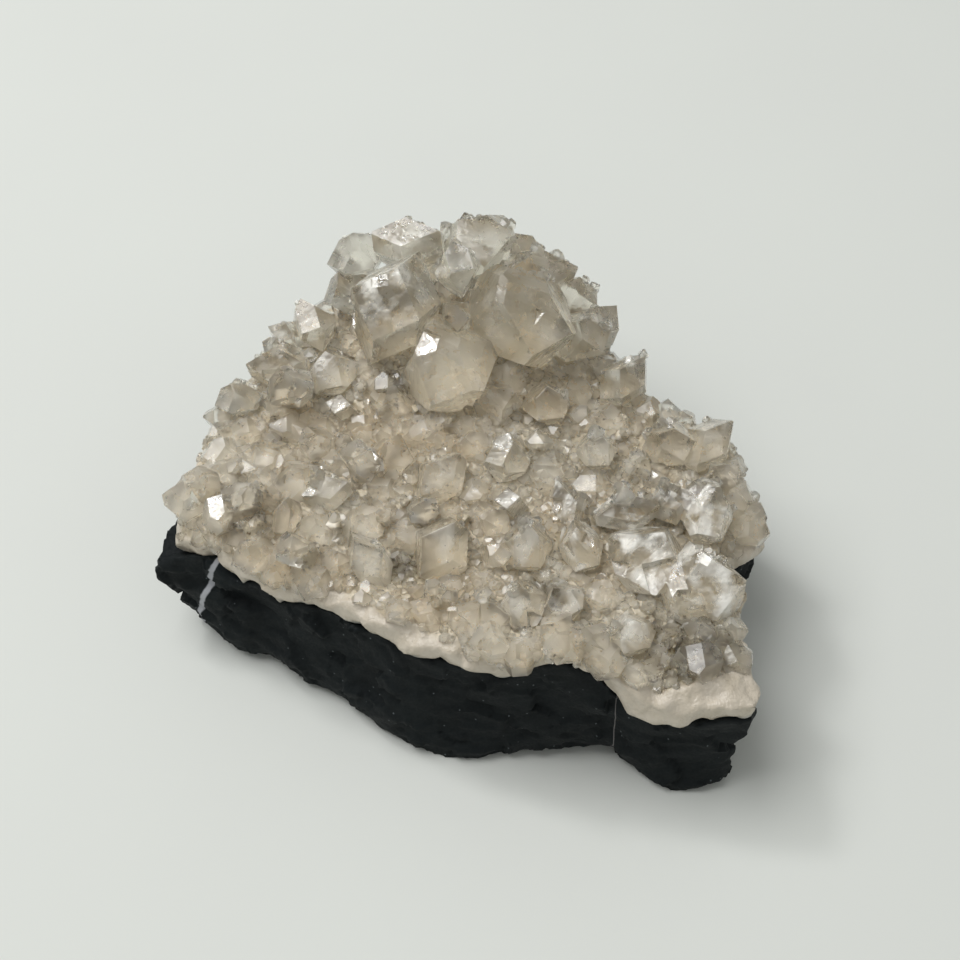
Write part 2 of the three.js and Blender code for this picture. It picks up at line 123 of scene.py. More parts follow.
def object_from(name, data):
    """Puts a mesh, a lamp or a camera in the scene as an object at the origin."""
    made = bpy.data.objects.new(name, data)
    bpy.context.scene.collection.objects.link(made)
    return made


def give_material(made, material):
    """Gives an object one material in the place of all that it has."""
    made.data.materials.clear()
    made.data.materials.append(material)


def area_light(name, direction, size, power):
    """A square softbox that faces the specimen from a direction."""
    light = bpy.data.lights.new(name, "AREA")
    light.shape = "SQUARE"
    light.size = size
    light.energy = power
    lamp = object_from(name, light)
    lamp.location = AIM + direction * LAMP_DISTANCE
    lamp.rotation_euler = direction.to_track_quat("Z", "Y").to_euler()


def paper_material():
    """Matte white paper. Its light fibre mottling keeps a large plain area from looking empty."""
    material, tree, output, place = new_material("matte_white_paper")
    tone = mixed(tree, noise_at(tree, place, PAPER_MOTTLE, 4.0), PAPER_LIGHT, PAPER_DARK)
    add_surface(tree, output, {"Base Color": tone, "Roughness": 0.75, "Specular IOR Level": 0.2})
    return material


bm = bmesh.new()
bmesh.ops.create_grid(bm, x_segments=1, y_segments=1, size=FLOOR_SIZE / 2)
floor_mesh = bpy.data.meshes.new("floor")
bm.to_mesh(floor_mesh)
bm.free()
floor = object_from("floor", floor_mesh)
give_material(floor, paper_material())

view = Vector((0, math.cos(CAMERA_ELEVATION), -math.sin(CAMERA_ELEVATION)))
camera_data = bpy.data.cameras.new("camera")
camera_data.lens = CAMERA_LENS
camera_data.sensor_width = CAMERA_SENSOR
camera_data.clip_start = CAMERA_NEAR
camera = object_from("camera", camera_data)
camera.location = AIM - view * CAMERA_DISTANCE
camera.rotation_euler = (math.pi / 2 - CAMERA_ELEVATION, 0, 0)
bpy.context.scene.camera = camera

area_light("key", KEY_DIRECTION, KEY_SIZE, KEY_POWER)
area_light("spark", SPARK_DIRECTION, SPARK_SIZE, SPARK_POWER)

world = bpy.data.worlds.new("room")
world.use_nodes = True
world.node_tree.nodes["Background"].inputs["Color"].default_value = linear(ROOM_COLOUR)
world.node_tree.nodes["Background"].inputs["Strength"].default_value = ROOM_LIGHT
bpy.context.scene.world = world
bpy.context.scene.view_settings.view_transform = "Standard"
cycles = bpy.context.scene.cycles
cycles.max_bounces = cycles.transmission_bounces = cycles.glossy_bounces = LIGHT_BOUNCES


# The matrix: a piece of fine-grained black basalt from a lava flow, broken with a hammer. Its
# sides are hackly, with shallow chips, flat ledges and a pale seam of calcite through the left
# end. It carries everything else.

SAME_PLACE = 0.001 * MM
ROCK_VOXEL = 0.62 * MM
ROCK_FOOT = 0.8 * MM
# Facets that look up this much lie under the crust, and stay as they are.
ROCK_TOP = (0.6, 0.95)
# Each kind of chip has its size, how much its facets lean and how far they step in or out.
CHIPS = [(8.5 * MM, 0.13, 0.35 * MM), (3.6 * MM, 0.09, 0.1 * MM), (1.7 * MM, 0.07, 0.03 * MM)]
CHIP_FLATTENING = 1.5
LEAN_DRAW = 17
STEP_DRAW = 31
GRIT_SIZE = 0.9 * MM
GRIT_DEPTH = 0.12 * MM
LEDGE_PITCH = 3.4 * MM
LEDGE_DEPTH = 0.35 * MM
LEDGE_TREAD = 0.85
LEDGE_BEND = 1.6
LEDGE_BEND_SIZE = 12 * MM
LEDGE_FADE_SIZE = 9 * MM


def copy_of(node_name):
    """A copy of a CAD node's mesh as a bmesh, with its loose triangles joined."""
    bm = bmesh.new()
    bm.from_mesh(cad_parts[node_name].data)
    bmesh.ops.remove_doubles(bm, verts=bm.verts, dist=SAME_PLACE)
    return bm


def mesh_of(bm, name):
    """Turns a bmesh into a mesh."""
    mesh = bpy.data.meshes.new(name)
    bm.to_mesh(mesh)
    bm.free()
    return mesh


def make_plain(made):
    """Turns what an object's modifiers make of it into its own plain mesh."""
    evaluated = made.evaluated_get(bpy.context.evaluated_depsgraph_get())
    plain = bpy.data.meshes.new_from_object(evaluated)
    made.modifiers.clear()
    made.data = plain


def in_order(mesh):
    """The mesh with its vertices and faces sorted. A voxel mesh has them in another order at each
    run, and what is scattered on it would change with that."""
    places = [tuple(vertex.co) for vertex in mesh.vertices]
    order = sorted(range(len(places)), key=places.__getitem__)
    rank = {old: new for new, old in enumerate(order)}
    faces = []
    for polygon in mesh.polygons:
        corners = [rank[index] for index in polygon.vertices]
        first = corners.index(min(corners))
        faces.append(tuple(corners[first:] + corners[:first]))
    made = bpy.data.meshes.new(mesh.name)
    made.from_pydata([places[index] for index in order], [], sorted(faces))
    return made


def remeshed(bm, name, voxel):
    """The bmesh as an even voxel mesh, which closes small gaps and unites bodies that overlap."""
    made = object_from(name, mesh_of(bm, name))
    remesh = made.modifiers.new("remesh", "REMESH")
    remesh.mode = "VOXEL"
    remesh.voxel_size = voxel
    make_plain(made)
    made.data = in_order(made.data)
    return made


def smooth_step(low, high, value):
    """0 up to low and 1 from high on, with a soft slope between them."""
    share = min(1.0, max(0.0, (value - low) / (high - low)))
    return share * share * (3 - 2 * share)


def chip_depth(point, size, slope, step):
    """Flat chips about one size across. Each leans its own way and lies a little in or out."""
    spot = noise.voronoi(point / size)[1][0]
    lean = (noise.cell_vector(spot * LEAN_DRAW) - Vector((0.5, 0.5, 0.5))) * 2 * slope
    return lean.dot(point - spot * size) + step * noise.cell(spot * STEP_DRAW)


def broken_depth(point):
    """How far the broken surface of basalt lies out from its general form at a point."""
    flat = Vector((point.x, point.y, point.z * CHIP_FLATTENING))
    depth = sum(chip_depth(flat, *chip) for chip in CHIPS)
    bend = noise.noise(point / LEDGE_BEND_SIZE) * LEDGE_BEND
    ledge = (point.z / LEDGE_PITCH + bend) % 1.0
    step = smooth_step(0.0, LEDGE_TREAD, ledge) - smooth_step(LEDGE_TREAD, 1.0, ledge)
    depth += LEDGE_DEPTH * step * (0.5 + noise.noise(point / LEDGE_FADE_SIZE))
    return depth + GRIT_DEPTH * noise.noise(point / GRIT_SIZE)


matrix = remeshed(copy_of("basalt_matrix"), "basalt", ROCK_VOXEL)
normals = [vertex.normal.copy() for vertex in matrix.data.vertices]
for vertex, normal in zip(matrix.data.vertices, normals):
    hold = smooth_step(0.0, ROCK_FOOT, vertex.co.z) * (1 - smooth_step(*ROCK_TOP, normal.z))
    vertex.co += normal * broken_depth(vertex.co) * hold
    vertex.co.z = max(vertex.co.z, 0.0)
matrix.data.polygons.foreach_set("use_smooth", [True] * len(matrix.data.polygons))

BASALT_DARK = "#05090a"
BASALT_LIGHT = "#131b1d"
BASALT_PATCHES = 9 * MM
BASALT_GRAIN = 0.45 * MM
FELDSPAR = "#70777a"
FELDSPAR_PITCH = 1.9 * MM
SEAM_WHITE = "#a9abb0"
SEAM_X = -41.5 * MM
SEAM_FRONT = -10.1 * MM
SEAM_WIDTH = 0.75 * MM
SEAM_CORE = 0.6
SEAM_LEAN = 0.28
SEAM_SLANT = -0.8
SEAM_WANDER = 3.2 * MM
HAIRLINE_GREY = "#6f6c6c"
HAIRLINE_X = 24.6 * MM
HAIRLINE_WIDTH = 0.10 * MM
HAIRLINE_WANDER = 1.0 * MM
WANDER_SIZE = 7 * MM


def spread(tree, value, low, high, first=0.0, last=1.0):
    """A value between low and high, spread over first to last and held at both ends."""
    inputs = {"Value": value, "From Min": low, "From Max": high, "To Min": first, "To Max": last}
    return add_node(tree, "ShaderNodeMapRange", inputs).outputs["Result"]


def reckoned(tree, operation, *values, clamp=False):
    """The result of one Math node on values or outputs."""
    inputs = dict(enumerate(values))
    made = add_node(tree, "ShaderNodeMath", inputs, operation=operation, use_clamp=clamp)
    return made.outputs[0]


def bumped(tree, height, strength, depth):
    """The surface's normal with a fine relief, from a height between 0 and 1."""
    inputs = {"Height": height, "Strength": strength, "Distance": depth}
    return add_node(tree, "ShaderNodeBump", inputs).outputs["Normal"]


def seam_mask(tree, place, middle, width, lean, slant, wander):
    """1 inside a thin sheet that crosses the rock where x + slant * y = middle, 0 outside it."""
    axes = add_node(tree, "ShaderNodeSeparateXYZ", {"Vector": place}).outputs
    wobble = noise_at(tree, place, WANDER_SIZE, 3.0)
    swing = reckoned(tree, "MULTIPLY_ADD", wobble, wander, -wander / 2 - middle)
    tilted = reckoned(tree, "MULTIPLY_ADD", axes["Z"], -lean, swing)
    turned = reckoned(tree, "MULTIPLY_ADD", axes["Y"], slant, tilted)
    offset = reckoned(tree, "ADD", axes["X"], turned)
    far = reckoned(tree, "ABSOLUTE", offset)
    return spread(tree, far, width * SEAM_CORE, width, 1.0, 0.0)


def basalt_material():
    """Fresh basalt: nearly black, dull, with faint blue-grey patches, a few pale feldspar specks
    and a grain that scatters what it reflects."""
    material, tree, output, place = new_material("basalt_broken")
    patches = noise_at(tree, place, BASALT_PATCHES, 6.0)
    base = mixed(tree, patches, BASALT_DARK, BASALT_LIGHT)
    specks = add_node(
        tree,
        "ShaderNodeTexVoronoi",
        {"Vector": place, "Scale": 1 / FELDSPAR_PITCH, "Randomness": 1.0},
    )
    speck = spread(tree, specks.outputs["Distance"], 0.05, 0.10, 0.6, 0.0)
    speckled = mixed(tree, speck, base, FELDSPAR)
    seam_middle = SEAM_X + SEAM_SLANT * SEAM_FRONT
    seam = seam_mask(tree, place, seam_middle, SEAM_WIDTH, SEAM_LEAN, SEAM_SLANT, SEAM_WANDER)
    with_seam = mixed(tree, seam, speckled, SEAM_WHITE)
    hairline = seam_mask(tree, place, HAIRLINE_X, HAIRLINE_WIDTH, 0.0, 0.0, HAIRLINE_WANDER)
    colour = mixed(tree, hairline, with_seam, HAIRLINE_GREY)
    grain = noise_at(tree, place, BASALT_GRAIN, 5.0)
    add_surface(
        tree,
        output,
        {
            "Base Color": colour,
            "Roughness": spread(tree, grain, 0.0, 1.0, 0.55, 0.9),
            "Normal": bumped(tree, grain, 0.6, 0.12 * MM),
            "IOR": 1.5,
            "Specular IOR Level": 0.25,
        },
    )
    return material


give_material(matrix, basalt_material())
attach(matrix, "root")
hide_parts("basalt_matrix")


# The crust: one layer that grew over the basalt. Where it is broken, along the edge, it is milky
# white calcite. On top it is a beige druse, the bed that all the crystals stand on.

CRUST_VOXEL = 0.55 * MM
FIELD_HEIGHT = 27.2 * MM
FIELD_RISE = 0.035
DOME_MIDDLE = Vector((0.7, 28)) * MM
DOME_ACROSS = 17 * MM
DOME_RISE = 10 * MM
SOCKET_OVERLAP = 0.7 * MM
# The rim is found in sectors. A sector whose edge lies higher than its neighbours' has a gap.
RIM_SECTORS = 180
RIM_OUTERMOST = 0.94
RIM_GAP = 9
RIM_JUMP = 1.5 * MM
RIM_ZONE = (0.82, 0.93)
INNER_HEIGHT = 6 * MM
# The white band along the broken edge, which is higher at the front right corner.
BAND_HEIGHT = 4.5 * MM
BAND_VARIES = 1.2 * MM
BAND_VARIES_SIZE = 11 * MM
BAND_RAGGED = 0.9 * MM
BAND_RAGGED_SIZE = 2.8 * MM
BAND_SOFT = 0.9 * MM
CORNER_BAND = 3.0 * MM
CORNER_X = (22 * MM, 32 * MM)
CORNER_Y = (37 * MM, 41 * MM)
KNOB_SIZE = 2.6 * MM
KNOB_DEPTH = 0.5 * MM
KNOBS_FILLED = 0.6
SUGAR_SIZE = 0.9 * MM
SUGAR_DEPTH = 0.25 * MM
DRUSE_SINK = 0.3 * MM
RAGGED_SIZE = 3.0 * MM
RAGGED_DEPTH = 1.0 * MM
RAGGED_SHIFTS = (0, 137, 291)
# How far up a face looks where the druse covers it, where crystals grow, and where it is carved.
DRUSE_TURN = (-0.4, 0.0)
GROWTH_TURN = (0.35, 0.75)
CARVED_TURN = (-0.6, 0.0)
# How far from the large crystals each size of small crystal begins to grow.
FINE_CLEARANCE = (0.0, 0.4 * MM)
MEDIUM_CLEARANCE = (0.7 * MM, 1.1 * MM)
COARSE_CLEARANCE = (1.6 * MM, 2.4 * MM)
# Hollows with clay and painted shade: the middle in x and y, and how far it reaches, in mm.
CLAY_AND_SHADE_SPOTS = [(-11, 15, 5), (-9, -20, 5), (37, -38, 12), (30, -31, 3), (-30, 6, 3), (14, -26, 4)]

CRYSTAL_NODES = [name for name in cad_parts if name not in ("basalt_matrix", "druse_crust")]


def field_height(x, y):
    """Height of the crust's upper surface, as if no crystals stood on it."""
    far = (Vector((x, y)) - DOME_MIDDLE).length / DOME_ACROSS
    return FIELD_HEIGHT + FIELD_RISE * y + DOME_RISE * math.exp(-far * far)


def crust_with_filled_sockets():
    """The CAD crust, with the foot of each large crystal added to fill its socket."""
    bm = copy_of("druse_crust")
    for name in CRYSTAL_NODES:
        foot = copy_of(name)
        foot.normal_update()
        for vertex in foot.verts:
            vertex.co += vertex.normal * SOCKET_OVERLAP
            vertex.co.z = min(vertex.co.z, field_height(vertex.co.x, vertex.co.y))
        bm.from_mesh(mesh_of(foot, name))
    return bm


def sector_of(point):
    """Which sector a point lies in, with its place across that sector as a fraction."""
    return math.atan2(point.y, point.x) / math.tau % 1.0 * RIM_SECTORS


def around(point, values):
    """The value for a point's direction from the middle, from one value for each sector."""
    low = math.floor(sector_of(point) - 0.5)
    ahead = sector_of(point) - 0.5 - low
    return values[low % RIM_SECTORS] * (1 - ahead) + values[(low + 1) % RIM_SECTORS] * ahead


def rim_lines(mesh):
    """How far out the crust reaches in each direction, and how low it lies there."""
    reach = [0.0] * RIM_SECTORS
    for vertex in mesh.vertices:
        sector = int(sector_of(vertex.co)) % RIM_SECTORS
        reach[sector] = max(reach[sector], vertex.co.xy.length)
    lowest = [1.0] * RIM_SECTORS
    for vertex in mesh.vertices:
        sector = int(sector_of(vertex.co)) % RIM_SECTORS
        if vertex.co.xy.length > RIM_OUTERMOST * reach[sector]:
            lowest[sector] = min(lowest[sector], vertex.co.z)
    kept = []
    for sector, own in enumerate(lowest):
        before = min(lowest[sector - step] for step in range(1, RIM_GAP))
        after = min(lowest[(sector + step) % RIM_SECTORS] for step in range(1, RIM_GAP))
        kept.append(max(before, after) if own > max(before, after) + RIM_JUMP else own)
    return reach, kept


def search_tree(bm):
    """A tree that finds the nearest face of closed bodies, from their bmesh, which it uses up."""
    tree = BVHTree.FromBMesh(bm)
    bm.free()
    return tree


def depth_inside(tree, point):
    """How deep a point is inside closed bodies, from their search tree. Negative outside them."""
    nearest, normal, _, distance = tree.find_nearest(point)
    return distance if normal.dot(point - nearest) < 0 else -distance


def give_values(mesh, name, values, domain="POINT"):
    """Stores one value for each vertex or face, which materials and trees read by its name."""
    mesh.attributes.new(name, "FLOAT", domain).data.foreach_set("value", values)


crust = remeshed(crust_with_filled_sockets(), "crust", CRUST_VOXEL)
reach, lowest = rim_lines(crust.data)
crystal_bodies = bmesh.new()
for name in CRYSTAL_NODES:
    crystal_bodies.from_mesh(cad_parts[name].data)
crystal_tree = search_tree(crystal_bodies)

druse = []
above_edge = []
clay_and_shade = []
fine_growth = []
medium_growth = []
coarse_growth = []
normals = [vertex.normal.copy() for vertex in crust.data.vertices]
for vertex, normal in zip(crust.data.vertices, normals):
    place = vertex.co.copy()
    rim = smooth_step(*RIM_ZONE, place.xy.length / around(place, reach))
    above = place.z - around(place, lowest) + INNER_HEIGHT * (1 - rim)
    above += BAND_RAGGED * noise.noise(place / BAND_RAGGED_SIZE)
    band = BAND_HEIGHT + BAND_VARIES * noise.noise(place.xy.to_3d() / BAND_VARIES_SIZE)
    band += CORNER_BAND * smooth_step(*CORNER_X, place.x) * smooth_step(*CORNER_Y, -place.y)
    covered = smooth_step(band, band + BAND_SOFT, above) * smooth_step(*DRUSE_TURN, normal.z)
    druse.append(covered)
    above_edge.append(above / MM)
    # How near each vertex lies to a hollow that gets clay specks and a film of painted shade.
    clay_and_shade.append(
        max(1 - (place.xy - Vector((x, y)) * MM).length / (far * MM) for x, y, far in CLAY_AND_SHADE_SPOTS)
    )
    clearance = -depth_inside(crystal_tree, place)
    upward = smooth_step(*GROWTH_TURN, normal.z)
    fine_growth.append(covered * smooth_step(*FINE_CLEARANCE, clearance))
    medium_growth.append(covered * upward * smooth_step(*MEDIUM_CLEARANCE, clearance))
    coarse_growth.append(covered * upward * smooth_step(*COARSE_CLEARANCE, clearance))
    knobs = noise.voronoi(place / KNOB_SIZE, distance_metric="DISTANCE", exponent=2.0)[0][0]
    out = KNOB_DEPTH * (0.5 - knobs) * (1 - KNOBS_FILLED * covered)
    out += SUGAR_DEPTH * noise.noise(place / SUGAR_SIZE)
    out -= DRUSE_SINK * covered
    vertex.co += normal * out * smooth_step(*CARVED_TURN, normal.z)
    ragged = [noise.noise(place / RAGGED_SIZE + Vector((shift, 0, 0))) for shift in RAGGED_SHIFTS]
    vertex.co += Vector(ragged) * RAGGED_DEPTH * rim
give_values(crust.data, "druse", druse)
give_values(crust.data, "above_edge", above_edge)
give_values(crust.data, "clay_and_shade", clay_and_shade)
crust.data.polygons.foreach_set("use_smooth", [True] * len(crust.data.polygons))

EDGE_SHADED = "#b6aa94"
EDGE_WHITE = "#e2d8ca"
EDGE_CLOUDS = 3 * MM
THIN_GREY = "#8d9391"
# The bed's beige where crystals cover it, painted lighter than the bare druse: painted light that
# stands in for light passing through the crystals.
BED_BEIGE_PAINTED_LIGHT = "#f1e0c4"
BED_CREAM_PAINTED_LIGHT = "#fcf4e4"
BED_PATCHES = 11 * MM
BARE_DRUSE = "#c8bba2"
# The olive film in the hollows: the clay's colour and painted shade.
CLAY_AND_SHADE_FILM = "#8f8466"
CLAY_SPECK = "#6e5a3a"
CLAY_SPECK_SIZE = 0.8 * MM
CRUST_GRAIN = 0.5 * MM


def values_of(tree, name):
    """The values that the mesh stores under a name."""
    return add_node(tree, "ShaderNodeAttribute", attribute_name=name).outputs["Fac"]


def crust_material():
    """Milky calcite where it is broken, blue-grey where it thins out over the black rock, and a
    beige, wet-looking druse on top, painted lighter under the crystals as painted light for what
    reaches it through them. An olive film of clay colour and painted shade darkens its hollows,
    where brown clay lies as specks."""
    material, tree, output, place = new_material("calcite_crust")
    cloud = noise_at(tree, place, EDGE_CLOUDS, 6.0)
    white = mixed(tree, cloud, EDGE_SHADED, EDGE_WHITE)
    thin = spread(tree, values_of(tree, "above_edge"), 0.2, 1.1, 0.75, 0.0)
    edged = mixed(tree, thin, white, THIN_GREY)
    bed_painted_lighter = add_node(
        tree, "ShaderNodeValToRGB", {"Fac": noise_at(tree, place, BED_PATCHES, 5.0)}
    )
    bed_painted_lighter.color_ramp.elements[0].position = 0.35
    bed_painted_lighter.color_ramp.elements[0].color = linear(BED_BEIGE_PAINTED_LIGHT)
    bed_painted_lighter.color_ramp.elements[1].position = 0.65
    bed_painted_lighter.color_ramp.elements[1].color = linear(BED_CREAM_PAINTED_LIGHT)
    # Under the crystals the bed takes the lighter beige, painted light for what reaches it through
    # them.
    druse_with_painted_light = mixed(tree, values_of(tree, "under_glass_painted_light"), BARE_DRUSE, bed_painted_lighter.outputs["Color"])
    clay_and_shade_share = values_of(tree, "clay_and_shade")
    # The olive film darkens the hollows. It is clay colour and painted shade.
    shade_filmed = mixed(tree, spread(tree, clay_and_shade_share, 0.1, 0.6, 0.0, 0.75), druse_with_painted_light, CLAY_AND_SHADE_FILM)
    specks = noise_at(tree, place, CLAY_SPECK_SIZE, 3.0)
    stained = reckoned(tree, "MULTIPLY_ADD", clay_and_shade_share, 0.2, specks, clamp=True)
    lifted = reckoned(tree, "MAXIMUM", stained, specks)
    speckled = mixed(tree, spread(tree, lifted, 0.62, 0.72), shade_filmed, CLAY_SPECK)
    colour = mixed(tree, values_of(tree, "druse"), edged, speckled)
    grain = noise_at(tree, place, CRUST_GRAIN, 5.0)
    add_surface(
        tree,
        output,
        {
            "Base Color": colour,
            "Roughness": 0.3,
            "Normal": bumped(tree, grain, 0.9, 0.25 * MM),
            "IOR": 1.6,
        },
    )
    return material


give_material(crust, crust_material())
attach(crust, "root")
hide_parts("druse_crust")


# The druse: some 3,200 clear calcite crystals of 1 to 6 mm. They grew on the crust in layers,
# the coarse ones first, and on the rear faces of the large crystals, and where they touch they
# have grown into one.

CLEAVAGE_POLAR = math.radians(44.6)
STEEP_POLAR = math.radians(63.1)
STEEP_REACH = 1.14
FACE_UNEVEN = 0.12
SHAPE_DRAW = 7.3
FACE_DRAW = 3.1
CRYSTAL_LIFT = 0.06
SHAPES = 5
SPOTS_PER_SQUARE_METRE = 4e6
SIZE_SKEW = 2.0
COARSE_LAYERS = [
    {"Spacing": 7.0 * MM, "Smallest": 4.4 * MM, "Largest": 6.4 * MM, "Lean": 0.8, "Seed": 1},
    {"Spacing": 5.6 * MM, "Smallest": 3.4 * MM, "Largest": 5.4 * MM, "Lean": 0.9, "Seed": 2},
    {"Spacing": 4.6 * MM, "Smallest": 2.6 * MM, "Largest": 4.4 * MM, "Lean": 0.9, "Seed": 3},
    {"Spacing": 4.0 * MM, "Smallest": 2.2 * MM, "Largest": 3.8 * MM, "Lean": 0.9, "Seed": 4},
]
MEDIUM_LAYERS = [
    {"Spacing": 2.8 * MM, "Smallest": 1.4 * MM, "Largest": 2.4 * MM, "Lean": 1.0, "Seed": 5},
    {"Spacing": 2.6 * MM, "Smallest": 1.2 * MM, "Largest": 2.2 * MM, "Lean": 1.0, "Seed": 6},
]
FINE_LAYERS = [
    {"Spacing": 1.9 * MM, "Smallest": 1.0 * MM, "Largest": 1.7 * MM, "Lean": 1.1, "Seed": 11},
    {"Spacing": 1.8 * MM, "Smallest": 1.0 * MM, "Largest": 1.6 * MM, "Lean": 1.1, "Seed": 12},
]
SIDE_LAYERS = [
    {"Spacing": 3.6 * MM, "Smallest": 1.6 * MM, "Largest": 3.0 * MM, "Lean": 0.8, "Seed": 21},
    {"Spacing": 2.2 * MM, "Smallest": 0.9 * MM, "Largest": 1.8 * MM, "Lean": 0.9, "Seed": 22},
]
# On the large crystals, faces that look back but not up carry them, in patches.
SIDE_BACKWARD = (0.15, 0.5)
SIDE_ABOVE = (-0.2, 0.2)
SIDE_BELOW = (0.85, 0.7)
SIDE_PATCHES = (-0.2, 0.15)
SIDE_PATCH_SIZE = 7 * MM
CALCITE_WHITE = "#fffcf4"
CALCITE_IOR = 1.56
CALCITE_ROUGH = (0.18, 0.45)
LINE_LENGTH = 8 * MM
LINE_WIDTH = 0.7 * MM
ETCH_SIZE = 2.2 * MM
TORN_SIZE = 1.6 * MM
VEIL_SIZE = 4 * MM
TURN_DRAW = 31
SPOT_EDGE = (0.7, 1.0)
SMALL_TINT = "#cdbb9a"
SMALL_LINE_DEPTH = 0.25 * MM
SMALL_LINED = 0.25
SMALL_MILK = 0.2
GLASS_SEAM = (-0.15 * MM, 0.15 * MM)


def form_normals(polar, start):
    """Normals of a six-faced form: three round the top, and three between them round the foot."""
    normals = []
    for third in range(3):
        for sign, turn in ((1, 0), (-1, math.pi / 3)):
            angle = start + turn + third * math.tau / 3
            flat = math.sin(polar)
            up = sign * math.cos(polar)
            normals.append(Vector((flat * math.cos(angle), flat * math.sin(angle), up)))
    return normals


def crystal_mesh(seed):
    """One small crystal about 1 across: a block cut to calcite's cleavage and steep faces."""
    bm = bmesh.new()
    bmesh.ops.create_cube(bm, size=4)
    planes = [(n, 0.5) for n in form_normals(CLEAVAGE_POLAR, 0)]
    planes += [(n, 0.5 * STEEP_REACH) for n in form_normals(STEEP_POLAR, math.pi / 3)]
    for index, (normal, distance) in enumerate(planes):
        draw = noise.cell(Vector((seed * SHAPE_DRAW, index * FACE_DRAW, 0)))
        uneven = 1 + FACE_UNEVEN * draw
        cut = bmesh.ops.bisect_plane(
            bm,
            geom=bm.verts[:] + bm.edges[:] + bm.faces[:],
            plane_co=normal * distance * uneven,
            plane_no=normal,
            clear_outer=True,
        )
        rim = [edge for edge in cut["geom_cut"] if isinstance(edge, bmesh.types.BMEdge)]
        if rim:
            bmesh.ops.edgeloop_fill(bm, edges=rim)
    bmesh.ops.recalc_face_normals(bm, faces=bm.faces)
    bmesh.ops.translate(bm, verts=bm.verts, vec=(0, 0, CRYSTAL_LIFT))
    return mesh_of(bm, "shape_%d" % seed)


def scatter_tree(variants, material):
    """Stands crystals on the surface it is given, no two closer than Spacing."""
    tree = bpy.data.node_groups.new("stand_crystals", "GeometryNodeTree")
    sockets = tree.interface
    sockets.new_socket("Geometry", in_out="INPUT", socket_type="NodeSocketGeometry")
    for name in ("Spacing", "Smallest", "Largest", "Lean"):
        sockets.new_socket(name, in_out="INPUT", socket_type="NodeSocketFloat")
    sockets.new_socket("Seed", in_out="INPUT", socket_type="NodeSocketInt")
    sockets.new_socket("Geometry", in_out="OUTPUT", socket_type="NodeSocketGeometry")
    given = add_node(tree, "NodeGroupInput").outputs
    result = add_node(tree, "NodeGroupOutput")
    where = add_node(
        tree, "GeometryNodeInputNamedAttribute", {"Name": "grows"}, data_type="FLOAT"
    )
    spots = add_node(
        tree,
        "GeometryNodeDistributePointsOnFaces",
        {
            "Mesh": given["Geometry"],
            "Distance Min": given["Spacing"],
            "Density Max": SPOTS_PER_SQUARE_METRE,
            "Density Factor": where.outputs["Attribute"],
            "Seed": given["Seed"],
        },
        distribute_method="POISSON",
        use_legacy_normal=False,
    )
    shapes = add_node(tree, "GeometryNodeJoinGeometry")
    for variant in variants:
        shape = add_node(
            tree, "GeometryNodeObjectInfo", {"Object": variant, "As Instance": True}
        )
        tree.links.new(shape.outputs["Geometry"], shapes.inputs["Geometry"])
    index = add_node(tree, "GeometryNodeInputIndex").outputs[0]
    pick = add_node(
        tree,
        "FunctionNodeRandomValue",
        {4: 0, 5: len(variants) - 1, "ID": index, "Seed": 3},
        data_type="INT",
    )
    lean = given["Lean"]
    back = reckoned(tree, "MULTIPLY", lean, -1.0)
    low = add_node(tree, "ShaderNodeCombineXYZ", {"X": back, "Y": back, "Z": -math.pi})
    high = add_node(tree, "ShaderNodeCombineXYZ", {"X": lean, "Y": lean, "Z": math.pi})
    turn = add_node(
        tree,
        "FunctionNodeRandomValue",
        {0: low.outputs[0], 1: high.outputs[0], "Seed": 4},
        data_type="FLOAT_VECTOR",
    )
    stood = add_node(
        tree,
        "FunctionNodeRotateRotation",
        {0: spots.outputs["Rotation"], 1: turn.outputs[0]},
        rotation_space="LOCAL",
    )
    chance = add_node(
        tree, "FunctionNodeRandomValue", {2: 0.0, 3: 1.0, "Seed": 5}, data_type="FLOAT"
    )
    skewed = reckoned(tree, "POWER", chance.outputs[1], SIZE_SKEW)
    stand = add_node(
        tree,
        "GeometryNodeInstanceOnPoints",
        {
            "Points": spots.outputs["Points"],
            "Instance": shapes.outputs["Geometry"],
            "Pick Instance": True,
            "Instance Index": pick.outputs[2],
            "Rotation": stood.outputs[0],
            "Scale": spread(tree, skewed, 0.0, 1.0, given["Smallest"], given["Largest"]),
        },
    )
    real = add_node(
        tree, "GeometryNodeRealizeInstances", {"Geometry": stand.outputs["Instances"]}
    )
    finished = add_node(
        tree,
        "GeometryNodeSetMaterial",
        {"Geometry": real.outputs["Geometry"], "Material": material},
    )
    tree.links.new(finished.outputs["Geometry"], result.inputs["Geometry"])
    return tree


def stand_crystals(ground, grows, variants, material, sizes):
    """Grows one layer of crystals on a mesh. grows has the density at each vertex or face."""
    layer = object_from("layer", ground.copy())
    domain = "POINT" if len(grows) == len(ground.vertices) else "FACE"
    give_values(layer.data, "grows", grows, domain)
    tree = scatter_tree(variants, material)
    modifier = layer.modifiers.new("stand", "NODES")
    modifier.node_group = tree
    for socket in tree.interface.items_tree:
        if socket.in_out == "INPUT" and socket.name in sizes:
            modifier[socket.identifier] = sizes[socket.name]
    make_plain(layer)
    return layer


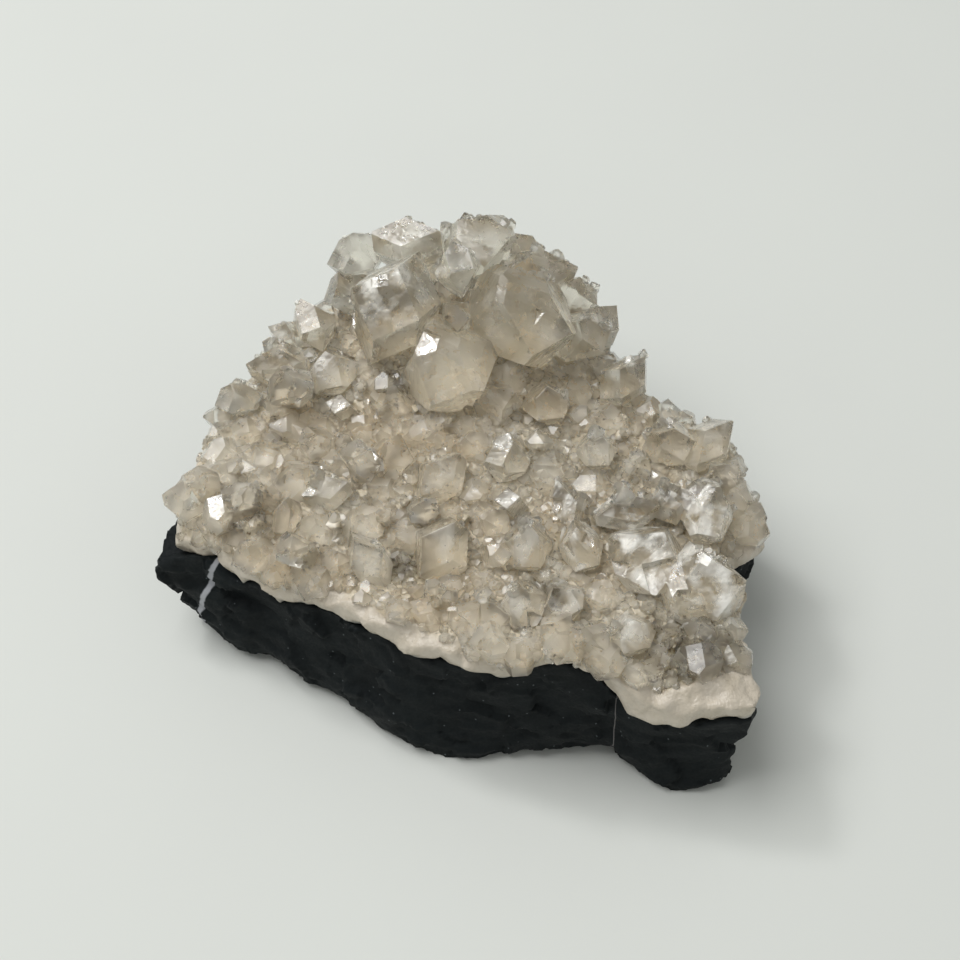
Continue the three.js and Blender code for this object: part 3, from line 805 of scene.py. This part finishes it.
def mark_faces(mesh, lined, milk, milky_spots=()):
    """Gives each flat face its own place in metres, along and across the growth lines on it, and
    the shares of lines and of milky veils. A spot is a place, its radius and its own milkiness."""
    give_values(mesh, "lined", [lined] * len(mesh.vertices))
    veils = []
    for vertex in mesh.vertices:
        share = milk
        for spot, radius, there in milky_spots:
            far = (vertex.co - Vector(spot) * MM).length / (radius * MM)
            share += (there - share) * (1 - smooth_step(*SPOT_EDGE, far))
        veils.append(share)
    give_values(mesh, "milk", veils)
    marks = mesh.attributes.new("face_place", "FLOAT_VECTOR", "CORNER")
    for polygon in mesh.polygons:
        normal = polygon.normal
        turn = math.tau * noise.cell(normal * TURN_DRAW)
        along = normal.orthogonal().normalized()
        along.rotate(Quaternion(normal, turn))
        across = normal.cross(along)
        for corner in polygon.loop_indices:
            point = mesh.vertices[mesh.loops[corner].vertex_index].co
            marks.data[corner].vector = (point.dot(along), point.dot(across), turn * MM)


def calcite_material(name, tint, density, line_depth):
    """Clear calcite: glass-like with a high index and faintly beige in depth. Growth lines on its
    faces break reflections into bright streaks, etched patches are frosted, and veils of fine
    cracks turn parts of it milky."""
    material, tree, output, place = new_material(name)
    lined = values_of(tree, "lined")
    milk = values_of(tree, "milk")
    marks = add_node(tree, "ShaderNodeAttribute", attribute_name="face_place").outputs["Vector"]
    stretched = add_node(
        tree,
        "ShaderNodeVectorMath",
        {0: marks, 1: (1 / LINE_LENGTH, 1 / LINE_WIDTH, 1 / MM)},
        operation="MULTIPLY",
    )
    lines = noise_at(tree, stretched.outputs["Vector"], 1.0, 3.0)
    etch = noise_at(tree, place, ETCH_SIZE, 3.0)
    uneven = reckoned(tree, "MULTIPLY", lined, spread(tree, etch, 0.4, 0.6, 0.15, 1.0))
    height = reckoned(tree, "MULTIPLY", lines, uneven)
    torn = noise_at(tree, place, TORN_SIZE, 3.0)
    ragged = reckoned(tree, "MULTIPLY_ADD", torn, milk, height)
    relief = bumped(tree, ragged, 1.0, line_depth)
    dull = spread(tree, lines, 0.46, 0.54, 0.95, 0.0)
    streaked = reckoned(tree, "MULTIPLY", lined, dull)
    cracked = noise_at(tree, place, VEIL_SIZE, 4.0, Distortion=0.4)
    veiled = reckoned(tree, "MULTIPLY_ADD", lines, 0.2, cracked)
    lost = reckoned(tree, "MULTIPLY", spread(tree, veiled, 0.54, 0.82), milk)
    add_surface(
        tree,
        output,
        {
            "Base Color": linear(CALCITE_WHITE),
            "Roughness": spread(tree, etch, 0.35, 0.65, *CALCITE_ROUGH),
            "Normal": relief,
            "IOR": CALCITE_IOR,
            "Transmission Weight": reckoned(tree, "SUBTRACT", 1.0, lost, clamp=True),
            "Coat Weight": reckoned(tree, "SUBTRACT", 1.0, streaked),
            "Coat Roughness": 0.03,
            "Coat IOR": 1.5,
            "Coat Normal": relief,
        },
    )
    if density:
        inputs = {"Color": linear(tint), "Density": density}
        depth = add_node(tree, "ShaderNodeVolumeAbsorption", inputs)
        tree.links.new(depth.outputs["Volume"], output.inputs["Volume"])
    return material


def combine(piece, mesh, operation):
    """Joins a closed mesh to a piece, or cuts it away, which leaves no walls inside crystals."""
    other = object_from("other", mesh)
    change = piece.modifiers.new("change", "BOOLEAN")
    change.operation = operation
    change.solver = "MANIFOLD"
    change.object = other
    make_plain(piece)
    bpy.data.objects.remove(other)


shapes = [object_from("shape_%d" % seed, crystal_mesh(seed)) for seed in range(SHAPES)]
small_calcite = calcite_material("calcite_small_clear", SMALL_TINT, 0, SMALL_LINE_DEPTH)

large_bodies = bmesh.new()
for name in CRYSTAL_NODES:
    large_bodies.from_mesh(mesh_of(copy_of(name), name))
large_mesh = mesh_of(large_bodies, "large_bodies")

side_growth = []
for face in large_mesh.polygons:
    backward = smooth_step(*SIDE_BACKWARD, face.normal.y) * smooth_step(*SIDE_ABOVE, face.normal.z)
    patch = smooth_step(*SIDE_PATCHES, noise.noise(face.center / SIDE_PATCH_SIZE))
    side_growth.append(backward * patch * smooth_step(*SIDE_BELOW, face.normal.z))

small_crystals = None
for layers, ground, grows in (
    (COARSE_LAYERS, crust.data, coarse_growth),
    (MEDIUM_LAYERS, crust.data, medium_growth),
    (FINE_LAYERS, crust.data, fine_growth),
    (SIDE_LAYERS, large_mesh, side_growth),
):
    for sizes in layers:
        layer = stand_crystals(ground, grows, shapes, small_calcite, sizes)
        if small_crystals:
            combine(small_crystals, layer.data, "UNION")
            bpy.data.objects.remove(layer)
        else:
            small_crystals = layer
for shape in shapes:
    bpy.data.objects.remove(shape)

small_bodies = bmesh.new()
small_bodies.from_mesh(small_crystals.data)
small_tree = search_tree(small_bodies)
# Where the crust lies inside crystals. There the bed is painted lighter, as painted light.
under_glass_painted_light = []
for vertex in crust.data.vertices:
    inside = max(depth_inside(small_tree, vertex.co), depth_inside(crystal_tree, vertex.co))
    under_glass_painted_light.append(smooth_step(*GLASS_SEAM, inside))
give_values(crust.data, "under_glass_painted_light", under_glass_painted_light)

combine(small_crystals, large_mesh, "DIFFERENCE")
small_crystals.name = "small_crystals"
give_material(small_crystals, small_calcite)
mark_faces(small_crystals.data, SMALL_LINED, SMALL_MILK)
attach(small_crystals, "root")


# The large crystals: clear, blocky calcite, from single rhombs of 5 mm to the dome's blocks of
# 20 mm. They grew into one another, with edges slightly rounded and faces faintly lined. Small
# flat steps, where a corner has cleaved off, catch the light.

EDGE_ROUND = 0.14 * MM
DOME_EDGE_ROUND = 0.45 * MM
EDGE_ANGLE = math.radians(15)
EDGE_SEGMENTS = 2
FLAT_ANGLE = math.radians(1.5)
USUAL_LINED = 0.4
LINED = {"hatched_rhomb": 1.0, "striped_rhomb": 1.0, "striated_pair": 1.0, "square_rhomb": 0.7}
USUAL_MILK = 0.35
MILK = {
    "right_cluster": 1.1,
    "ridge_crystals": 0.6,
    "clear_side_block": 0.5,
    "front_white_crystal": 0.7,
    "house_crystal": 0.4,
    "hatched_rhomb": 0.6,
    "striped_rhomb": 0.6,
    "striated_pair": 0.9,
    "front_pair": 0.6,
    "centre_pair": 0.5,
    "dome_crystals": 0.2,
}
# Milkier parts of the dome: the place and the radius in mm, and the milkiness there.
DOME_SPOTS = [((-11.3, 26.4, 46), 10, 1.3), ((0.5, 28, 47), 4, 0.8), ((-2.2, 10, 36), 5, 0.4)]
# A face that looks this way mirrors the lamps into the camera.
GLINT = Vector((-0.27, -0.22, 0.94)).normalized()
# Each cleaved corner has its place and its size in mm, and its turn in degrees.
NICKS = {
    "dome_crystals": [
        ((-6.2, 14.6, 40.9), 5.0, 20),
        ((13.6, 18.4, 43.6), 2.4, 35),
        ((-13.5, 24.5, 46.0), 3.0, 50),
        ((-19.0, 24.7, 36.8), 4.0, 10),
    ],
    "right_cluster": [
        ((37.5, -9.5, 31.7), 4.5, 15),
        ((36.6, -11.0, 31.2), 3.0, 15),
        ((32.4, -26.2, 30.3), 6.0, 60),
        ((24.6, -24.6, 30.2), 3.5, 30),
        ((38.5, -23.9, 33.4), 3.0, 30),
    ],
    "striated_pair": [((14.8, -12.4, 30.7), 3.5, 40), ((21.1, -18.9, 31.4), 2.5, 20)],
    "front_pair": [((12.4, -33.1, 28.0), 3.0, 45)],
    "centre_pair": [((4.8, -19.4, 30.2), 3.0, 70)],
    "left_centre_block": [((-25.3, -8.0, 29.5), 3.0, 20)],
    "ridge_crystals": [((-32.2, 15.4, 31.4), 3.0, 45)],
}
LARGE_TINT = "#c4b480"
LARGE_DENSITY = 15.0
LARGE_LINE_DEPTH = 0.3 * MM
large_calcite = calcite_material(
    "calcite_large_clear", LARGE_TINT, LARGE_DENSITY, LARGE_LINE_DEPTH
)


def nick_mesh(place, across, turn):
    """A block that cuts a flat cleavage step into a crystal, turned to catch the light."""
    bm = bmesh.new()
    bmesh.ops.create_cube(bm, size=across)
    bmesh.ops.translate(bm, verts=bm.verts, vec=(0, 0, across / 2))
    bmesh.ops.rotate(bm, verts=bm.verts, matrix=Quaternion((0, 0, 1), turn).to_matrix())
    bmesh.ops.rotate(bm, verts=bm.verts, matrix=GLINT.to_track_quat("Z", "Y").to_matrix())
    bmesh.ops.translate(bm, verts=bm.verts, vec=place)
    return mesh_of(bm, "nick")


def finished_crystals(node_name):
    """A CAD crystal node with its flat faces whole again, its edges rounded and its nicks cut."""
    bm = copy_of(node_name)
    bmesh.ops.dissolve_limit(
        bm, angle_limit=FLAT_ANGLE, verts=bm.verts, edges=bm.edges, delimit=set()
    )
    made = object_from(node_name + "_clear", mesh_of(bm, node_name + "_clear"))
    bevel = made.modifiers.new("edges", "BEVEL")
    bevel.width = DOME_EDGE_ROUND if node_name == "dome_crystals" else EDGE_ROUND
    bevel.segments = EDGE_SEGMENTS
    bevel.limit_method = "ANGLE"
    bevel.angle_limit = EDGE_ANGLE
    bevel.use_clamp_overlap = True
    make_plain(made)
    for place, across, turn in NICKS.get(node_name, ()):
        nick = nick_mesh(Vector(place) * MM, across * MM, math.radians(turn))
        combine(made, nick, "DIFFERENCE")
    give_material(made, large_calcite)
    spots = DOME_SPOTS if node_name == "dome_crystals" else ()
    lined = LINED.get(node_name, USUAL_LINED)
    mark_faces(made.data, lined, MILK.get(node_name, USUAL_MILK), spots)
    return made


for name in CRYSTAL_NODES:
    piece = finished_crystals(name)
    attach(piece, "root")
    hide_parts(name)
